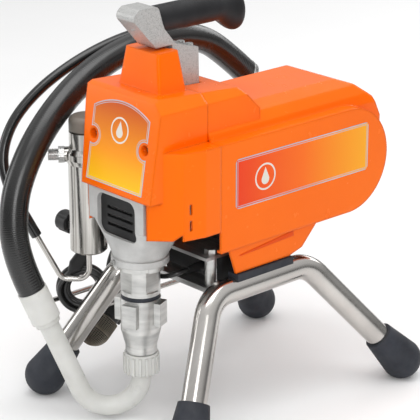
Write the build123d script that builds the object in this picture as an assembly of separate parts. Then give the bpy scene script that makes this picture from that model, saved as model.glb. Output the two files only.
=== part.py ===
"""Airless paint sprayer on a four-legged tube stand.

Frame, in millimetres: +Z up, the pump and the front cover face -Y, the motor runs back along +Y,
and the side with the long label is +X. The origin is on the floor, under the middle of the machine.
"""

import math
import os

from build123d import *

os.makedirs("parts", exist_ok=True)

# ---------------------------------------------------------------- driving dimensions
PUMP_Y = -108.7  # vertical pump axis
AXIS_Z = 286.0  # motor and crank axis
SEAM_Y = PUMP_Y + 47.0  # where the front cover meets the motor cover

TUBE_R = 15.0  # stand tube
TUBE_WALL = 1.5
STAND_X = 75.0  # half spacing of the two top runs
STAND_Z = 162.0
BEND_FRONT_Y = PUMP_Y + 40.0  # virtual corners of the stand tube
BEND_REAR_Y = PUMP_Y + 194.0
BEND_R = 42.0
LEG_OUT = 0.385  # sideways travel per unit of drop
FRONT_LEAN = 0.595
REAR_LEAN = 0.825
FOOT_R = 25.0
FOOT_Z = 23.0  # height of the foot's dome centre
BOOT_LENGTH = 46.0
BOOT_TOP_R = 18.5
TUBE_IN_BOOT = 9.0  # how far the tube stops above the dome centre

COVER_WALL = 3.0
BOX_X = 64.0  # half width of the upper front box
POD_X = 86.0  # half width over the side pods
POD_LOW = 215.0
POD_HIGH = 343.0
POD_END_Y = PUMP_Y + 254.0  # centre of the pod's round rear end
HUMP_Z = 400.0
DECK_Z = 368.0
FACE_LOW = (PUMP_Y - 39.0, 286.0)
FACE_HIGH = (PUMP_Y - 20.0, 397.0)

CYLINDER_R = 23.0
FLANGE_R = 33.5
FLANGE_Z = 196.0
STROKE = 28.0

BOWL_X = -90.0  # filter bowl axis
BOWL_Y = PUMP_Y - 2.5
BOWL_R = 22.0
BOWL_Z = 184.0
BOWL_TOP = 293.0

ELBOW_R = 11.75
ELBOW_BEND = 37.5
ELBOW_DIR = Vector(-0.6, -0.8, 0)
BEND_TOP_Z = 52.0
ARM_LEAN = math.radians(22.5)
ARM_DIR = ELBOW_DIR * math.sin(ARM_LEAN) + Vector(0, 0, math.cos(ARM_LEAN))
COUPLING_Z = (122.0, 164.0)

HOSE_R = 16.5
DRAIN_HOSE_R = 6.5
CORD_R = 3.0

RACK_Z = 104.0
RACK_X = (-96.0, -150.3)  # inner and outer rods
RACK_R = 3.2
RACK_FRONT_Y = PUMP_Y - 29.0
SUCTION_X = -130.0
SUCTION_R = 9.0

BAR_YS = (PUMP_Y + 62.0, PUMP_Y + 168.0)
POST_X = 52.0
PLATE_Z = 199.0
PLATE_T = 4.0

CAST_X = 47.0
CAST_FRONT = PUMP_Y - 35.0
CAST_UPPER_FRONT = PUMP_Y - 13.0
CAST_BACK = PUMP_Y + 79.0
CAST_LOW = 246.0
CAST_STEP = 284.0
CAST_HIGH = 390.0
WINDOW_X = 33.0
WINDOW_Z = (231.0, 280.0)
GUARD_Y = PUMP_Y - 29.0
NECK_R = 20.0
ROD_R = 9.0
BORE_R = 18.0
RING_R = 31.0
RING_Z = 190.0
CYLINDER_LOW = 157.0
SLEEVE_LOW = 128.0
HOUSING_TOP = 152.0
HOUSING_LOW = 84.0
NUT_LOW = 58.0
SEAT_Z = 106.0
BALL_R = 9.5
GAP = 0.05

YOKE_Z = AXIS_Z
PIN_THROW = STROKE / 2
PIN_R = 7.0
GEAR_Z = AXIS_Z + 46.0
CRANK_Y = (PUMP_Y + 24.0, PUMP_Y + 36.0)
PINION_Y = (PUMP_Y + 48.0, PUMP_Y + 56.0)

MOTOR_R = 55.0
MOTOR_Y = (CAST_BACK, PUMP_Y + 236.0)
SHAFT_R = 6.0
FAN_Y = (PUMP_Y + 252.0, PUMP_Y + 266.0)

TOWER_Z = 443.0
SCOOP_R = 25.8  # the hollow in the cover beside the filter
SKIRT_X = 82.0
SKIRT_LOW = 183.0
SLOT_ZS = (252.0, 271.0)

BRACKET_X = 15.0
GRIP_Z = 474.0
GRIP_R = 16.0
GRIP_BAR_R = 7.0
GRIP_Y = (PUMP_Y + 16.0, PUMP_Y + 152.0)

DRAIN_Z = 209.0
KNOB_X = (-140.0, -120.0)
OUTLET_DIR = Vector(-0.6, -0.8, 0)
ARM_Z = 302.0  # the bar from the head to the casting
OUTLET_Z = 303.0
OUTLET_REACH = 26.0
NIPPLE_R = 6.6
NIPPLE_LENGTH = 12.0

BOX_Y = (PUMP_Y + 81.0, PUMP_Y + 150.0)
BOX_Z = (160.0, PLATE_Z)
PANEL_X = -POD_X

SWITCH_Y = PUMP_Y + 135.0
SWITCH_Z = 285.0
KNOB_Y = PUMP_Y + 180.0

GLAND_X = 24.0
GLAND_Z = 177.0


# ---------------------------------------------------------------- helpers
def save(name, shape):
    """Write one node."""
    export_step(shape, f"parts/{name}.step")
    return shape


def mirrored(shape):
    """The same piece on the -X side."""
    return shape.mirror(Plane.YZ)


def rod(start, end, radius):
    """A round bar between two points."""
    a, b = Vector(*start), Vector(*end)
    plane = Plane(origin=a, z_dir=(b - a).normalized())
    return extrude(plane * Circle(radius), amount=(b - a).length)


def ring(start, end, outer, inner):
    """A round tube between two points."""
    a, b = Vector(*start), Vector(*end)
    plane = Plane(origin=a, z_dir=(b - a).normalized())
    return extrude(plane * (Circle(outer) - Circle(inner)), amount=(b - a).length)


def block(x, y, z):
    """A box from three (low, high) pairs."""
    size = [pair[1] - pair[0] for pair in (x, y, z)]
    middle = [(pair[0] + pair[1]) / 2 for pair in (x, y, z)]
    return Pos(*middle) * Box(*size)


def bent(points, radii, outer, inner=0.0):
    """A round bar or tube that follows straight runs joined by arcs."""
    path = FilletPolyline(*points, radius=radii)
    start = Plane(origin=path @ 0, z_dir=path % 0)
    section = Circle(outer)
    if inner:
        section = section - Circle(inner)
    return sweep(start * section, path=path)


def hexagon(start, end, across):
    """A hexagonal prism between two points."""
    a, b = Vector(*start), Vector(*end)
    plane = Plane(origin=a, z_dir=(b - a).normalized())
    return extrude(plane * RegularPolygon(across / 2, 6, major_radius=False), amount=(b - a).length)


def corner_radii(points):
    """The largest tangent arcs that a cord's runs allow: 0.45 of the shorter run at each corner."""
    radii = []
    for before, here, after in zip(points, points[1:], points[2:]):
        u = Vector(*here) - Vector(*before)
        v = Vector(*after) - Vector(*here)
        half_turn = math.radians(u.get_angle(v)) / 2
        radii.append(0.45 * min(u.length, v.length) / math.tan(half_turn))
    return radii


def from_pump(points):
    """Route points whose second number counts from the pump axis."""
    return [(x, PUMP_Y + y, z) for x, y, z in points]


def cord_tube(name, points, radius, bore=0.0):
    """A cord's tube, with a print of its tightest arc, its length and its volume."""
    radii = corner_radii(points)
    tube = bent(points, radii, radius, bore)
    length = FilletPolyline(*points, radius=radii).length
    section = math.pi * (radius**2 - bore**2)
    print(f"{name}: length {length:.0f}, radii {[round(r) for r in radii]}, "
          f"volume / (section x length) {tube.volume / (section * length):.4f}")
    return tube


# ---------------------------------------------------------------- stand
def leg_point(front, drop):
    """A point on a right-hand leg's axis, a given drop below the top run."""
    if front:
        return (STAND_X + LEG_OUT * drop, BEND_FRONT_Y - FRONT_LEAN * drop, STAND_Z - drop)
    return (STAND_X + LEG_OUT * drop, BEND_REAR_Y + REAR_LEAN * drop, STAND_Z - drop)


def leg_direction(front):
    """Unit vector down a right-hand leg."""
    return (Vector(*leg_point(front, 1)) - Vector(*leg_point(front, 0))).normalized()


def foot_centre(front):
    """Centre of the foot's dome."""
    return Vector(*leg_point(front, STAND_Z - FOOT_Z))


def stand_tube():
    """Front leg, top run and rear leg, bent from one tube."""
    front_end = foot_centre(True) - leg_direction(True) * TUBE_IN_BOOT
    rear_end = foot_centre(False) - leg_direction(False) * TUBE_IN_BOOT
    points = [front_end, leg_point(True, 0), leg_point(False, 0), rear_end]
    return bent(points, BEND_R, TUBE_R, TUBE_R - TUBE_WALL)


def foot(front):
    """A bell-shaped rubber boot with a domed end and a small flat under it."""
    axis = leg_direction(front)
    plane = Plane(origin=foot_centre(front), z_dir=axis, x_dir=axis.cross(Vector(0, 0, 1)))
    with BuildPart() as boot:
        with BuildSketch(Plane(origin=plane.origin, x_dir=plane.x_dir, z_dir=plane.z_dir.cross(plane.x_dir))):
            with BuildLine():
                middle = FOOT_R * math.sqrt(0.5)
                Polyline((0, -FOOT_R), (0, BOOT_LENGTH), (BOOT_TOP_R, BOOT_LENGTH), (FOOT_R, 0))
                ThreePointArc((FOOT_R, 0), (middle, -middle), (0, -FOOT_R))
            make_face()
        revolve(axis=Axis(plane.origin, axis))
    shape = boot.part
    top = foot_centre(front) - axis * (BOOT_LENGTH + 1)
    shape = shape - rod(top, foot_centre(front) - axis * TUBE_IN_BOOT, TUBE_R)
    return shape - block((-400, 400), (-400, 400), (-100, 0))


def cross_bar(y):
    """A flat steel bar, mitred to the two top runs."""
    bar = block((-STAND_X, STAND_X), (y - 13, y + 13), (STAND_Z - 3, STAND_Z + 3))
    for side in (-1, 1):
        bar -= rod((side * STAND_X, y - 40, STAND_Z), (side * STAND_X, y + 40, STAND_Z), TUBE_R)
        bar -= Pos(side * POST_X, y, STAND_Z) * Cylinder(4.2, 20)
    return bar


def base_plate():
    """The steel plate that carries the motor and the control box."""
    plate = block((-62, 62), (BAR_YS[0] - 16, BAR_YS[1] + 16), (PLATE_Z, PLATE_Z + PLATE_T))
    for x in (-POST_X, POST_X):
        for y in BAR_YS:
            plate = plate - Pos(x, y, PLATE_Z) * Cylinder(4.2, 20)
    return plate


def posts():
    """Four spacers between the cross bars and the base plate."""
    low, high = STAND_Z + 3, PLATE_Z
    return Compound([ring((x, y, low), (x, y, high), 7, 4.1) for x in (-POST_X, POST_X) for y in BAR_YS])


def post_bolts():
    """Four long bolts through the bars, the spacers and the plate."""
    bolts = []
    for x in (-POST_X, POST_X):
        for y in BAR_YS:
            shank = rod((x, y, STAND_Z - 3), (x, y, PLATE_Z + PLATE_T + 1), 4.0)
            head = hexagon((x, y, STAND_Z - 8.5), (x, y, STAND_Z - 3), 13)
            bolts.append(shank + head)
    return Compound(bolts)


def post_nuts():
    """Four nuts on top of the plate."""
    nuts = []
    for x in (-POST_X, POST_X):
        for y in BAR_YS:
            low = PLATE_Z + PLATE_T
            nuts.append(hexagon((x, y, low), (x, y, low + 6), 13) - rod((x, y, low), (x, y, low + 1), 4.0))
    return Compound(nuts)


def skirt_strip():
    """A rubber strip on the top run, under the edge of the motor cover's skirt."""
    strip = block((STAND_X - 7, STAND_X + 10), (PUMP_Y + 74, PUMP_Y + 163), (STAND_Z + 10, STAND_Z + 20))
    return strip - rod((STAND_X, -200, STAND_Z), (STAND_X, 200, STAND_Z), TUBE_R)


def suction_rack():
    """A hooked rod welded to the left legs; the suction tube stands between its two sides."""
    drop = STAND_Z - RACK_Z
    inner, outer = RACK_X
    front_weld = leg_point(True, drop)[1]
    rear_weld = leg_point(False, drop)[1]
    turn_y = rear_weld - 40
    rack = rod((inner, front_weld, RACK_Z), (inner, rear_weld, RACK_Z), RACK_R)
    rack += bent([(inner, turn_y, RACK_Z), (outer, turn_y, RACK_Z), (outer, RACK_FRONT_Y, RACK_Z)], 16, RACK_R)
    for front in (True, False):
        rack -= mirrored(rod(leg_point(front, 0), leg_point(front, STAND_Z), TUBE_R))
    return rack


# ---------------------------------------------------------------- pump
def upright(radius, low, high, x=0.0, y=PUMP_Y):
    """A vertical bar, on the pump axis unless told otherwise."""
    return Pos(x, y, (low + high) / 2) * Cylinder(radius, high - low)


def gearbox_housing():
    """The pump and gear casting: a block, a funnel and a flange, hollow inside."""
    low_block = block((-CAST_X, CAST_X), (CAST_FRONT, CAST_BACK), (CAST_LOW, CAST_STEP))
    high_block = block((-CAST_X, CAST_X), (CAST_UPPER_FRONT, CAST_BACK), (CAST_STEP, CAST_HIGH))
    mouth = Plane.XY.offset(CAST_LOW) * Pos(0, PUMP_Y) * RectangleRounded(2 * CAST_X, 70, 12)
    throat = Plane.XY.offset(FLANGE_Z + 8) * Pos(0, PUMP_Y) * Circle(FLANGE_R - 2)
    funnel = loft([throat.face(), mouth.face()])
    flange = upright(FLANGE_R, FLANGE_Z, FLANGE_Z + 8)
    casting = low_block + high_block + funnel + flange
    casting -= block((-38, 38), (CAST_UPPER_FRONT + 4, CAST_BACK - 6), (CAST_LOW + 6, CAST_HIGH - 6))
    casting -= block((-30, 30), (GUARD_Y + 4, CAST_UPPER_FRONT + 8), (WINDOW_Z[0], CAST_STEP - 6))
    casting -= upright(26, 215, CAST_LOW + 8)
    casting -= upright(NECK_R, FLANGE_Z - 1, 216)
    casting -= window_opening(CAST_FRONT - 5, GUARD_Y + 5)
    casting -= rod((0, CAST_BACK - 8, AXIS_Z), (0, CAST_BACK + 1, AXIS_Z), 16)
    casting -= rod((0, CAST_BACK - 7, GEAR_Z), (0, CAST_BACK - 2, GEAR_Z), 8)
    for screw in (cover_screws(), flange_screw(), handle_screws()):
        casting -= screw
    return casting


def window_opening(front, back):
    """The window in the casting's front wall, with two large lower corners."""
    middle = (WINDOW_Z[0] + WINDOW_Z[1]) / 2
    face = Plane.XZ.offset(-front) * Pos(0, middle) * RectangleRounded(2 * WINDOW_X, WINDOW_Z[1] - WINDOW_Z[0], 11)
    return extrude(face, amount=-(back - front))


def rod_guard():
    """The black louvred guard that closes the window over the moving rod."""
    guard = window_opening(GUARD_Y, GUARD_Y + 4)
    for z in (241, 251, 261):
        guard -= block((-22, 22), (GUARD_Y - 1, GUARD_Y + 5), (z, z + 3.5))
    return guard


def jam_ring():
    """The notched ring that locks the pump cylinder under the flange."""
    collar = upright(RING_R, RING_Z, FLANGE_Z) - upright(NECK_R, RING_Z - 1, FLANGE_Z + 1)
    for k in range(6):
        turn = Rot(0, 0, 30 + 60 * k) * Pos(RING_R, 0, 0) * Box(5, 9, 20)
        collar -= Pos(0, PUMP_Y, RING_Z + 3) * turn
    return collar


def flange_screw():
    """The small brass set screw in the flange's front."""
    y = PUMP_Y - FLANGE_R
    return rod((-7, y - 2.5, FLANGE_Z + 4), (-7, y + 2.5, FLANGE_Z + 4), 3)


def pump_cylinder():
    """The pump body with spanner flats, its neck above and its sleeve below."""
    body = upright(CYLINDER_R, CYLINDER_LOW, RING_Z)
    for side in (-1, 1):
        x = side * (CYLINDER_R - 2)
        body -= block(sorted((x, side * 40)), (PUMP_Y - 40, PUMP_Y + 40), (CYLINDER_LOW + 5, RING_Z + 1))
        y = PUMP_Y + side * (CYLINDER_R - 2)
        body -= block((-40, 40), sorted((y, PUMP_Y + side * 40)), (CYLINDER_LOW + 5, RING_Z + 1))
    body += upright(NECK_R, RING_Z, 214) + upright(20.5, SLEEVE_LOW, CYLINDER_LOW)
    body -= upright(BORE_R, SLEEVE_LOW - 1, 186)
    body -= upright(14, 185, 215)
    return body


def cylinder_o_ring():
    """The black ring between the cylinder and the foot valve housing."""
    return upright(CYLINDER_R - 0.5, HOUSING_TOP, CYLINDER_LOW) - upright(20.5, HOUSING_TOP - 1, CYLINDER_LOW + 1)


def throat_packings():
    """The packing stack that seals round the piston rod."""
    return upright(14, 188, 206) - upright(ROD_R + GAP, 187, 207)


def packing_nut():
    """The brass nut that presses the packings down."""
    nut = upright(14, 206, 214) + hexagon((0, PUMP_Y, 214), (0, PUMP_Y, 222), 30)
    return nut - upright(ROD_R + GAP, 205, 223)


def foot_valve_housing():
    """The winged housing screwed under the cylinder, tapering to the suction neck."""
    with BuildPart() as turned:
        with BuildSketch(Plane.XZ.offset(-PUMP_Y)):
            Polygon((0, HOUSING_LOW - 12), (15.5, HOUSING_LOW - 12), (15.5, HOUSING_LOW), (18.5, HOUSING_LOW),
                    (18.5, 92), (23.5, 112), (23.5, HOUSING_TOP), (0, HOUSING_TOP), align=None)
        revolve(axis=Axis((0, PUMP_Y, 0), (0, 0, 1)))
    housing = turned.part
    for k in range(4):
        wing = Pos(24, 0, 0) * Box(11, 18, 28)
        housing += Pos(0, PUMP_Y, 135) * Rot(0, 0, 22 + 90 * k) * wing
    housing -= upright(20.5, SLEEVE_LOW - 2, HOUSING_TOP + 1)
    housing -= upright(14, SEAT_Z, SLEEVE_LOW)
    housing -= upright(11, SEAT_Z - 6, SEAT_Z + 1)
    housing -= upright(9, HOUSING_LOW - 13, SEAT_Z)
    return housing


def foot_valve_seat():
    """The ring that the lower ball closes."""
    return upright(11, SEAT_Z - 6, SEAT_Z) - upright(6, SEAT_Z - 7, SEAT_Z + 1)


def ball_on(seat_high, seat_bore):
    """Height of a ball's centre when it rests on a seat's edge, with a hair of clearance."""
    return seat_high + math.sqrt(BALL_R**2 - seat_bore**2) + 2 * GAP


def foot_valve_ball():
    """The lower check ball."""
    return Pos(0, PUMP_Y, ball_on(SEAT_Z, 6)) * Sphere(BALL_R)


def suction_nut():
    """The ribbed white plastic nut under the foot valve housing."""
    nut = upright(19.5, NUT_LOW, HOUSING_LOW - 1)
    for k in range(16):
        rib = Pos(19.6, 0, 0) * Box(3.4, 3.6, 22)
        nut += Pos(0, PUMP_Y, NUT_LOW + 11) * Rot(0, 0, k * 22.5) * rib
    nut -= upright(15.5, HOUSING_LOW - 16, HOUSING_LOW)
    return nut - upright(ELBOW_R, NUT_LOW - 1, HOUSING_LOW)


def along_elbow(t, z):
    """A point in the elbow's plane: t out from the pump axis, z up."""
    return Vector(0, PUMP_Y, z) + ELBOW_DIR * t




def arm_point(z):
    """A point on the elbow's long arm."""
    end = BEND_TOP_Z - ELBOW_BEND * math.sin(ARM_LEAN)
    foot = along_elbow(ELBOW_BEND * (1 + math.cos(ARM_LEAN)), end)
    return foot + ARM_DIR * ((z - end) / math.cos(ARM_LEAN))


def suction_elbow():
    """The white plastic pipe: down from the pump, round a U bend and up to the hose."""
    start = along_elbow(0, HOUSING_LOW - 12)
    drop = along_elbow(0, BEND_TOP_Z)
    low = along_elbow(ELBOW_BEND, BEND_TOP_Z - ELBOW_BEND)
    turn_end = arm_point(BEND_TOP_Z - ELBOW_BEND * math.sin(ARM_LEAN))
    path = Wire([Edge.make_line(start, drop), Edge.make_three_point_arc(drop, low, turn_end),
                 Edge.make_line(turn_end, arm_point(COUPLING_Z[0] + 8))])
    pipe = sweep(Plane(origin=start, z_dir=(0, 0, -1)) * (Circle(ELBOW_R) - Circle(8.5)), path=path)
    flange = upright(15.5, HOUSING_LOW - 16, HOUSING_LOW - 12) - upright(8.5, 0, HOUSING_LOW)
    return pipe + flange


def hose_coupling():
    """The white sleeve that joins the elbow to the suction hose."""
    low, high = arm_point(COUPLING_Z[0]), arm_point(COUPLING_Z[1])
    seat = arm_point(COUPLING_Z[0] + 8)
    sleeve = rod(low, low + ARM_DIR * 6, 15) + rod(low + ARM_DIR * 6, high, 17.5)
    return sleeve - rod(low - ARM_DIR, seat, ELBOW_R) - rod(seat, high + ARM_DIR, 8.5)


# ---------------------------------------------------------------- moving pump parts
def yoke():
    """The slotted block that the crank pin drives; it carries the piston rod."""
    slot = PIN_THROW + PIN_R + 1
    body = block((-29, 29), (PUMP_Y - 6, PUMP_Y + 9), (YOKE_Z - 13, YOKE_Z + 13))
    body -= block((-slot, slot), (PUMP_Y - 9, PUMP_Y + 10), (YOKE_Z - PIN_R - 0.5, YOKE_Z + PIN_R + 0.5))
    return body + upright(8, YOKE_Z - 26, YOKE_Z - 13)


def piston_rod():
    """The hard chromed rod, with the piston at its lower end."""
    shaft = upright(ROD_R, 158, YOKE_Z - 26)
    piston = upright(BORE_R - 0.05, 143, 158)
    chamber = upright(6.5, 145, 158) + upright(3.5, 142, 170)
    ports = rod((-12, PUMP_Y, 166), (12, PUMP_Y, 166), 3)
    return shaft + piston - chamber - ports


def piston_ball():
    """The upper check ball, inside the piston."""
    return Pos(0, PUMP_Y, 145 + math.sqrt(5**2 - 3.5**2) + 2 * GAP) * Sphere(5)


def gear(radius, teeth, low_y, high_y, z, bore):
    """A spur gear about an axis along Y."""
    plane = Plane(origin=(0, low_y, z), x_dir=(1, 0, 0), z_dir=(0, 1, 0))
    pitch = 2 * math.pi / teeth
    depth = 2.2
    corners = []
    for k in range(teeth):
        for share, r in ((-0.28, radius - depth), (-0.14, radius), (0.14, radius), (0.28, radius - depth)):
            angle = (k + share) * pitch
            corners.append((r * math.cos(angle), r * math.sin(angle)))
    outline = Polygon(*corners, align=None)
    return extrude(plane * (outline - Circle(bore)), amount=high_y - low_y)


def crank_gear():
    """The last gear, with its shaft behind and the eccentric pin in front."""
    low, high = CRANK_Y
    disc = gear(34, 44, low, high, AXIS_Z, 4)
    shaft = rod((0, low, AXIS_Z), (0, high + 8, AXIS_Z), 8)
    pin = rod((PIN_THROW, PUMP_Y + 10, AXIS_Z), (PIN_THROW, low + 2, AXIS_Z), PIN_R)
    return disc + shaft + pin


def intermediate_gear():
    """The double gear between the motor pinion and the crank gear."""
    small = gear(11.6, 14, CRANK_Y[0], CRANK_Y[1], GEAR_Z, 4)
    large = gear(36, 48, PINION_Y[0], PINION_Y[1], GEAR_Z, 4)
    shaft = rod((0, CRANK_Y[0], GEAR_Z), (0, CAST_BACK - 3, GEAR_Z), 5)
    hub = rod((0, CRANK_Y[1], GEAR_Z), (0, PINION_Y[0], GEAR_Z), 9)
    return small + large + shaft + hub


def gear_bearings():
    """Bearings for the crank shaft and the intermediate gear, in their carriers."""
    crank_web = block((-38, 38), (CRANK_Y[1] + 2, CRANK_Y[1] + 7), (AXIS_Z - 34, AXIS_Z + 20))
    crank_web -= rod((0, -200, AXIS_Z), (0, 0, AXIS_Z), 8 + GAP)
    end_ring = ring((0, CAST_BACK - 7, GEAR_Z), (0, CAST_BACK - 3, GEAR_Z), 8, 5 + GAP)
    return Compound([crank_web, end_ring])


# ---------------------------------------------------------------- motor
def motor_housing():
    """The motor's steel can, bolted to the back of the casting."""
    low, high = MOTOR_Y
    can = ring((0, low, AXIS_Z), (0, high, AXIS_Z), MOTOR_R, MOTOR_R - 3)
    front = ring((0, low, AXIS_Z), (0, low + 5, AXIS_Z), MOTOR_R - 2, 15)
    feet = block((-30, 30), (low + 20, high - 20), (PLATE_Z + PLATE_T, AXIS_Z - MOTOR_R + 8))
    feet -= rod((0, low, AXIS_Z), (0, high, AXIS_Z), MOTOR_R - 1.5)
    return can + front + feet


def motor_end_bell():
    """The rear end cap with its bearing seat."""
    y = MOTOR_Y[1]
    bell = ring((0, y, AXIS_Z), (0, y + 8, AXIS_Z), MOTOR_R, 15)
    for k in range(6):
        angle = math.radians(60 * k)
        x, z = 35 * math.cos(angle), AXIS_Z + 35 * math.sin(angle)
        bell -= rod((x, y - 1, z), (x, y + 9, z), 8)
    return bell


def motor_bearings():
    """The two shaft bearings."""
    front = ring((0, MOTOR_Y[0] - 6, AXIS_Z), (0, MOTOR_Y[0] + 5, AXIS_Z), 15, SHAFT_R + GAP)
    rear = ring((0, MOTOR_Y[1], AXIS_Z), (0, MOTOR_Y[1] + 8, AXIS_Z), 15, SHAFT_R + GAP)
    return Compound([front, rear])


def stator_magnets():
    """Four curved magnets inside the can."""
    low, high = MOTOR_Y[0] + 20, MOTOR_Y[1] - 15
    shell = ring((0, low, AXIS_Z), (0, high, AXIS_Z), MOTOR_R - 3, MOTOR_R - 13)
    for angle in (0, 90):
        shell -= Pos(0, (low + high) / 2, AXIS_Z) * Rot(0, angle + 45, 0) * Box(150, high - low + 2, 12)
    return shell


def rotor():
    """The wound armature on its shaft."""
    shaft = rod((0, PINION_Y[0] - 1, AXIS_Z), (0, FAN_Y[1] + 2, AXIS_Z), SHAFT_R)
    low, high = MOTOR_Y[0] + 26, MOTOR_Y[1] - 20
    core = rod((0, low, AXIS_Z), (0, high, AXIS_Z), MOTOR_R - 14)
    for k in range(12):
        angle = k * 30
        slot = Rot(0, angle, 0) * Pos(MOTOR_R - 17, 0, 0) * Box(9, high - low + 2, 5)
        core -= Pos(0, (low + high) / 2, AXIS_Z) * slot
    return shaft + core


def motor_pinion():
    """The small gear on the front of the motor shaft."""
    return gear(9.2, 12, PINION_Y[0], PINION_Y[1], AXIS_Z, SHAFT_R)


def cooling_fan():
    """Nine straight blades on a hub, behind the end bell."""
    low, high = FAN_Y
    fan = ring((0, low, AXIS_Z), (0, high, AXIS_Z), 14, SHAFT_R)
    fan += ring((0, low, AXIS_Z), (0, low + 2, AXIS_Z), 46, 13)
    for k in range(9):
        blade = Rot(0, 40 * k, 0) * Pos(29, 0, 0) * Box(32, high - low, 2.5)
        fan += Pos(0, (low + high) / 2, AXIS_Z) * blade
    return fan


# ---------------------------------------------------------------- covers
def side_profile(points, half_width):
    """A solid from a (y, z) outline, spread evenly about the middle."""
    outline = Polygon(*points, align=None)
    return extrude(Plane.YZ * outline, amount=half_width, both=True)


def cover_solid(wall):
    """The covers' outside for wall 0, and the space inside them for a positive wall."""
    pod_x = POD_X - wall
    pod_low = POD_LOW + (wall if wall else 0)
    radius = (POD_HIGH - POD_LOW) / 2 - wall
    pod_mid = (POD_HIGH + POD_LOW) / 2
    front = SEAM_Y - 23
    pod = block((-pod_x, pod_x), (front, POD_END_Y), (pod_low, POD_HIGH - wall))
    pod += rod((-pod_x, POD_END_Y, pod_mid), (pod_x, POD_END_Y, pod_mid), radius)
    low_front = PUMP_Y - 33 + wall
    panel_low = 241.0
    nose = Plane.XY.offset(panel_low - (2 if wall else 0)) * Polygon(
        (-50 + wall, low_front), (50 - wall, low_front), (80 - wall, PUMP_Y - 4), (pod_x, front),
        (pod_x, front + 40), (-pod_x, front + 40), (-pod_x, front), (-80 + wall, PUMP_Y - 4), align=None)
    solid = pod + extrude(nose, amount=POD_HIGH - wall - panel_low + (2 if wall else 0))
    solid -= block((-200, 200), (-300, SEAM_Y), (0, panel_low - (2 if wall else 0)))
    shoulder = Plane.XZ.offset(-(PUMP_Y + 125)) * Polygon(
        (-70 + wall, 225), (70 - wall, 225), (70 - wall, 338), (66 - wall, 350 - wall / 2), (58 - wall, 361 - wall),
        (40 - wall / 2, DECK_Z - wall), (-40 + wall / 2, DECK_Z - wall), (-58 + wall, 361 - wall),
        (-66 + wall, 350 - wall / 2), (-70 + wall, 338), align=None)
    body = extrude(shoulder, amount=-(196 - wall), both=False)
    body += extrude(shoulder, amount=130)
    rear_y = PUMP_Y + 321 - wall
    rear = side_profile([(SEAM_Y, 200), (rear_y - 30, 200), (rear_y, 240), (rear_y, 320), (rear_y - 12, 345),
                         (rear_y - 34, 362), (rear_y - 62, 372), (SEAM_Y, 372)], 100)
    solid += body & rear
    (y_low, z_low), (y_high, z_high) = FACE_LOW, FACE_HIGH
    before = side_profile([(y_low + wall, z_low), (y_high + wall, z_high), (y_low - 60, z_high),
                           (y_low - 60, z_low)], 200)
    return solid - before + front_box(wall)


def front_box(wall):
    """The upper front box, its chamfered edges, the tower and the slope behind."""
    half = BOX_X - wall
    (y_low, z_low), (y_high, z_high) = FACE_LOW, FACE_HIGH
    back = PUMP_Y + 99 - wall
    slope_end = PUMP_Y + 127 - wall
    low = z_low - (2 if wall else 0)
    lean = (y_high - y_low) / (z_high - z_low)
    outline = [(y_low + wall - lean * (z_low - low), low), (y_high + wall - lean * wall, z_high - wall),
               (y_high + 7, HUMP_Z - wall), (back, HUMP_Z - wall - 6), (slope_end, DECK_Z - wall - 2),
               (slope_end, low)]
    box = side_profile(outline, half)
    for side in (-1, 1):
        wedge = Polygon((side * half, 200), (side * (half + 9), 200), (side * (half + 9), 420), (side * 46, 420),
                        (side * (49 - wall), HUMP_Z - wall / 2), (side * half, 386 - wall / 2), align=None)
        box -= extrude(Plane.XZ.offset(200) * wedge, amount=-500)
        corner = Polygon((side * half, y_low + wall + 16), (side * (half + 9), y_low + 9), (side * half, y_low - 20),
                         (side * (half - 9), y_low - 20), (side * (half - 9), y_low + wall), align=None)
        box -= extrude(Plane.XY * corner, amount=500)
    base = Plane.XY.offset(HUMP_Z - 8) * Pos(0, PUMP_Y + 21) * RectangleRounded(72 - 2 * wall, 42 - 2 * wall, 3)
    top = Plane.XY.offset(TOWER_Z - wall) * Pos(0, PUMP_Y + 21) * RectangleRounded(56 - 2 * wall, 30 - 2 * wall, 3)
    return box + loft([base.face(), top.face()])


def skirts(wall):
    """The two side skirts that reach down from the pods to the stand tubes."""
    outline = [(SEAM_Y, 300), (SEAM_Y, 243), (PUMP_Y + 62, 218), (PUMP_Y + 74, SKIRT_LOW),
               (PUMP_Y + 159, SKIRT_LOW), (PUMP_Y + 180, 189), (PUMP_Y + 204, 214), (PUMP_Y + 260, 222),
               (PUMP_Y + 260, 300)]
    return side_profile(outline, SKIRT_X - wall)


def covers():
    """The whole orange shell, before it is parted at the seam."""
    rear_part = block((-200, 200), (SEAM_Y, 300), (0, 500))
    outer = cover_solid(0) + (skirts(0) & rear_part)
    inner = cover_solid(COVER_WALL)
    hollow = side_profile([(SEAM_Y - 60, 150), (SEAM_Y - 60, 240), (SEAM_Y, 300), (PUMP_Y + 258, 300),
                           (PUMP_Y + 258, 224), (PUMP_Y + 203, 150)], SKIRT_X - COVER_WALL)
    outer -= upright(SCOOP_R, 0, 500, BOWL_X, BOWL_Y)
    inner -= upright(SCOOP_R + COVER_WALL, 0, 500, BOWL_X, BOWL_Y)
    shell = outer - inner - hollow
    shell -= rod((BOWL_X, BOWL_Y, ARM_Z), (0, BOWL_Y, ARM_Z), 9)
    shell -= rod((PANEL_X - 1, KNOB_Y, SWITCH_Z), (PANEL_X + 6, KNOB_Y, SWITCH_Z), 5)
    shell -= block((PANEL_X - 1, PANEL_X + 6), (SWITCH_Y - 6.3, SWITCH_Y + 6.3), (SWITCH_Z - 11.3, SWITCH_Z + 11.3))
    shell -= block((-50, 50), (-300, PUMP_Y + 20), (150, FACE_LOW[1]))
    shell -= block((-BRACKET_X - 1, BRACKET_X + 1), (PUMP_Y + 33, PUMP_Y + 81), (HUMP_Z - 30, HUMP_Z + 80))
    for k in range(3):
        low = 335 - 7 * k
        shell -= block((-40, 40), (PUMP_Y + 290, PUMP_Y + 330), (low, low + 3))
    return shell


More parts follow.
